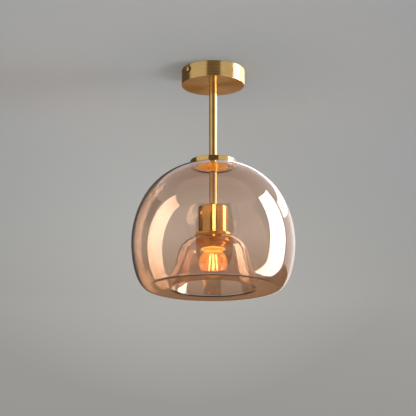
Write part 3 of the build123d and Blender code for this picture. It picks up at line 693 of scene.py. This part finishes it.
def room_material():
    """Matt paint that shows to the eye and through glass, with a soft painted pool of light behind the lamp.

    From outside, in reflections and to scattered light the even surroundings stand in for it.
    """
    material, shader = principled("room_paint", ROOM_PAINT_FAR, 0.95)
    place = node(material, "ShaderNodeTexCoord")
    pool = node(material, "ShaderNodeMapping", vector_type="TEXTURE")
    pool.inputs["Location"].default_value = around(POOL_AZIMUTH, POOL_BEHIND, 0)
    pool.inputs["Rotation"].default_value = (0, 0, CAMERA_AZIMUTH)
    pool.inputs["Scale"].default_value = (POOL_HALF_WIDTH, POOL_HALF_DEPTH, POOL_HALF_DEPTH)
    link(material, place.outputs["Object"], pool.inputs["Vector"])
    fade = node(material, "ShaderNodeTexGradient", gradient_type="SPHERICAL")
    link(material, pool.outputs["Vector"], fade.inputs["Vector"])
    apart = node(material, "ShaderNodeSeparateXYZ")
    link(material, pool.outputs["Vector"], apart.inputs["Vector"])
    depth = node(material, "ShaderNodeMapRange", interpolation_type="SMOOTHSTEP")
    depth.inputs["From Min"].default_value = (NEAR_DEPTH - POOL_BEHIND) / POOL_HALF_DEPTH
    depth.inputs["From Max"].default_value = (FAR_DEPTH - POOL_BEHIND) / POOL_HALF_DEPTH
    link(material, apart.outputs["Y"], depth.inputs["Value"])
    # the near paint is painted shade, and the pool a painted pool of light
    paint = blend(material, depth.outputs["Result"], PAINTED_SHADE_NEAR_LAMP, ROOM_PAINT_FAR)
    painted_pool_light = blend(material, fade.outputs["Fac"], (1, 1, 1), PAINTED_POOL_GAIN)
    link(material, multiplied(material, paint, painted_pool_light), shader.inputs["Base Color"])
    clear = node(material, "ShaderNodeBsdfTransparent")
    factor = bounces(material, "Diffuse Depth", "Glossy Depth", "Backfacing")
    mixed(material, factor, shader.outputs["BSDF"], clear.outputs["BSDF"])
    return material


def make_room():
    """Round room with a flat ceiling, a coved edge and a pale floor, painted on its inner side only."""
    cove_radius = ROOM_RADIUS - ROOM_COVE
    outline = [(radius, CEILING_LEVEL) for radius in (0, *CEILING_RINGS)]
    outline += arc((cove_radius, CEILING_LEVEL - ROOM_COVE), ROOM_COVE, 90, 0, COVE_STEPS)
    outline += arc((cove_radius, FLOOR_LEVEL + ROOM_COVE), ROOM_COVE, 0, -90, COVE_STEPS)
    outline.append((0, FLOOR_LEVEL))
    room = turned("room", outline, ROOM_STEPS, closed=False)
    room.data.flip_normals()
    room.data.materials.append(room_material())
    room.visible_shadow = False


def card_material(name, colour, strength, rim=None):
    """Glowing material that only reflections show. It fades to the rim's colour where there is one."""
    material = bpy.data.materials.new(name)
    material.use_nodes = True
    material.node_tree.nodes.remove(material.node_tree.nodes["Principled BSDF"])
    glow = node(material, "ShaderNodeEmission")
    glow.inputs["Color"].default_value = (*colour, 1)
    glow.inputs["Strength"].default_value = strength
    if rim:
        place = node(material, "ShaderNodeTexCoord")
        centred = node(material, "ShaderNodeMapping")
        centred.inputs["Location"].default_value = (-1, -1, 0)
        centred.inputs["Scale"].default_value = (2, 2, 0)
        link(material, place.outputs["Generated"], centred.inputs["Vector"])
        fade = node(material, "ShaderNodeTexGradient", gradient_type="SPHERICAL")
        link(material, centred.outputs["Vector"], fade.inputs["Vector"])
        link(material, blend(material, fade.outputs["Fac"], rim, colour), glow.inputs["Color"])
    clear = node(material, "ShaderNodeBsdfTransparent")
    mixed(material, bounces(material, "Glossy Depth"), clear.outputs["BSDF"], glow.outputs["Emission"])
    return material


def shown_in_reflections(name, mesh, colour, strength, rim=None):
    """Puts a card in the room where only reflections show it."""
    mesh.materials.append(card_material(name, colour, strength, rim))
    piece = bpy.data.objects.new(name, mesh)
    bpy.context.scene.collection.objects.link(piece)
    piece.visible_camera = False
    piece.visible_diffuse = False
    piece.visible_shadow = False


def card(name, azimuths, levels, distance, colour, strength):
    """Upright curved card round the lamp, from one side of the camera's direction to another, in degrees."""
    mesh = bpy.data.meshes.new(name)
    made = bmesh.new()
    columns = []
    for step in range(CARD_STEPS + 1):
        azimuth = azimuths[0] + (azimuths[1] - azimuths[0]) * step / CARD_STEPS
        columns.append([made.verts.new(around(azimuth, distance, level)) for level in levels])
    for near, far in zip(columns, columns[1:]):
        made.faces.new((near[0], far[0], far[1], near[1]))
    made.to_mesh(mesh)
    made.free()
    shown_in_reflections(name, mesh, colour, strength)


def lid(name, place, radius, colour, rim):
    """Level round card, from its middle's colour to its rim's."""
    mesh = bpy.data.meshes.new(name)
    turns = [2 * pi * step / LID_STEPS for step in range(LID_STEPS)]
    corners = [place + Vector((radius * cos(turn), radius * sin(turn), 0)) for turn in turns]
    mesh.from_pydata(corners, [], [list(range(LID_STEPS))])
    shown_in_reflections(name, mesh, colour, 1.0, rim)


def make_cards():
    """The softboxes and dark flags that the polished brass and the glass show."""
    card("right_softbox", (84, 117), (-2.0, 1.4), 1.7, (1.0, 0.99, 0.96), 8.0)
    card("back_right_softbox", (122, 178), (0.50, 0.92), 1.9, (1.0, 0.98, 0.94), 3.2)
    card("back_right_wall", (122, 178), (-0.38, 0.50), 1.9, (1.0, 0.96, 0.90), 1.1)
    card("camera_flag", (-23, 27), (-1.75, 1.0), 1.6, (0.11, 0.085, 0.06), 1.0)
    card("left_flag", (-178, -92), (-1.8, 1.2), 1.9, (0.10, 0.085, 0.075), 1.0)
    card("back_flag", (120, 240), (-2.0, -0.38), 1.85, (0.30, 0.18, 0.09), 1.0)
    lid("top_flag", around(-70, 0.45, 1.3), 2.2, (0.16, 0.14, 0.13), (0.66, 0.64, 0.62))


def ball_lamp(name, place, radius, watts, colour, in_reflections=False):
    """Round lamp that shines all ways, and isn't seen itself."""
    data = bpy.data.lights.new(name, "POINT")
    data.shadow_soft_size = radius
    data.energy = watts
    data.color = colour
    lamp = bpy.data.objects.new(name, data)
    bpy.context.scene.collection.objects.link(lamp)
    lamp.location = place
    lamp.visible_camera = False
    lamp.visible_glossy = in_reflections
    lamp.visible_transmission = False


def strip_lamp(name, radiance, colour):
    """Upright glowing strip that faces the lamp's axis, seen only in polished metal."""
    data = bpy.data.lights.new(name, "AREA")
    data.shape = "RECTANGLE"
    data.size, data.size_y = STRIP_WIDTH, STRIP_LEVELS[1] - STRIP_LEVELS[0]
    data.energy = radiance * pi * data.size * data.size_y
    data.color = colour
    lamp = bpy.data.objects.new(name, data)
    bpy.context.scene.collection.objects.link(lamp)
    lamp.location = around(STRIP_AZIMUTH, STRIP_DISTANCE, sum(STRIP_LEVELS) / 2)
    lamp.rotation_euler = (-around(STRIP_AZIMUTH, 1.0, 0)).to_track_quat("-Z", "Y").to_euler()
    lamp.visible_camera = False
    lamp.visible_transmission = False


def make_lamps():
    """Soft studio light from the right and from low in front, and the bulb's own warm light."""
    ball_lamp("key_lamp", around(80, 3.2, -2.1), 0.8, 210.0, (1.0, 0.985, 0.965))
    ball_lamp("fill_lamp", around(-14, 3.6, -1.5), 0.7, 110.0, (1.0, 0.99, 0.98))
    low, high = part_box("bulb_filaments")
    strip_lamp("bulb_in_front_glass", 9.0, (1.0, 0.80, 0.38))
    ball_lamp("bulb_light", (Vector(low) + Vector(high)) / 2, BULB_LIGHT_RADIUS, 1.0, (1.0, 0.58, 0.20), True)


def make_world():
    """Even pale surroundings."""
    world = bpy.data.worlds.new("surroundings")
    bpy.context.scene.world = world
    world.use_nodes = True
    background = world.node_tree.nodes["Background"]
    colour, strength = SURROUNDINGS
    background.inputs["Color"].default_value = (*colour, 1)
    background.inputs["Strength"].default_value = strength


make_room()
make_cards()
make_lamps()
make_world()
bpy.context.scene.view_settings.view_transform = "Standard"
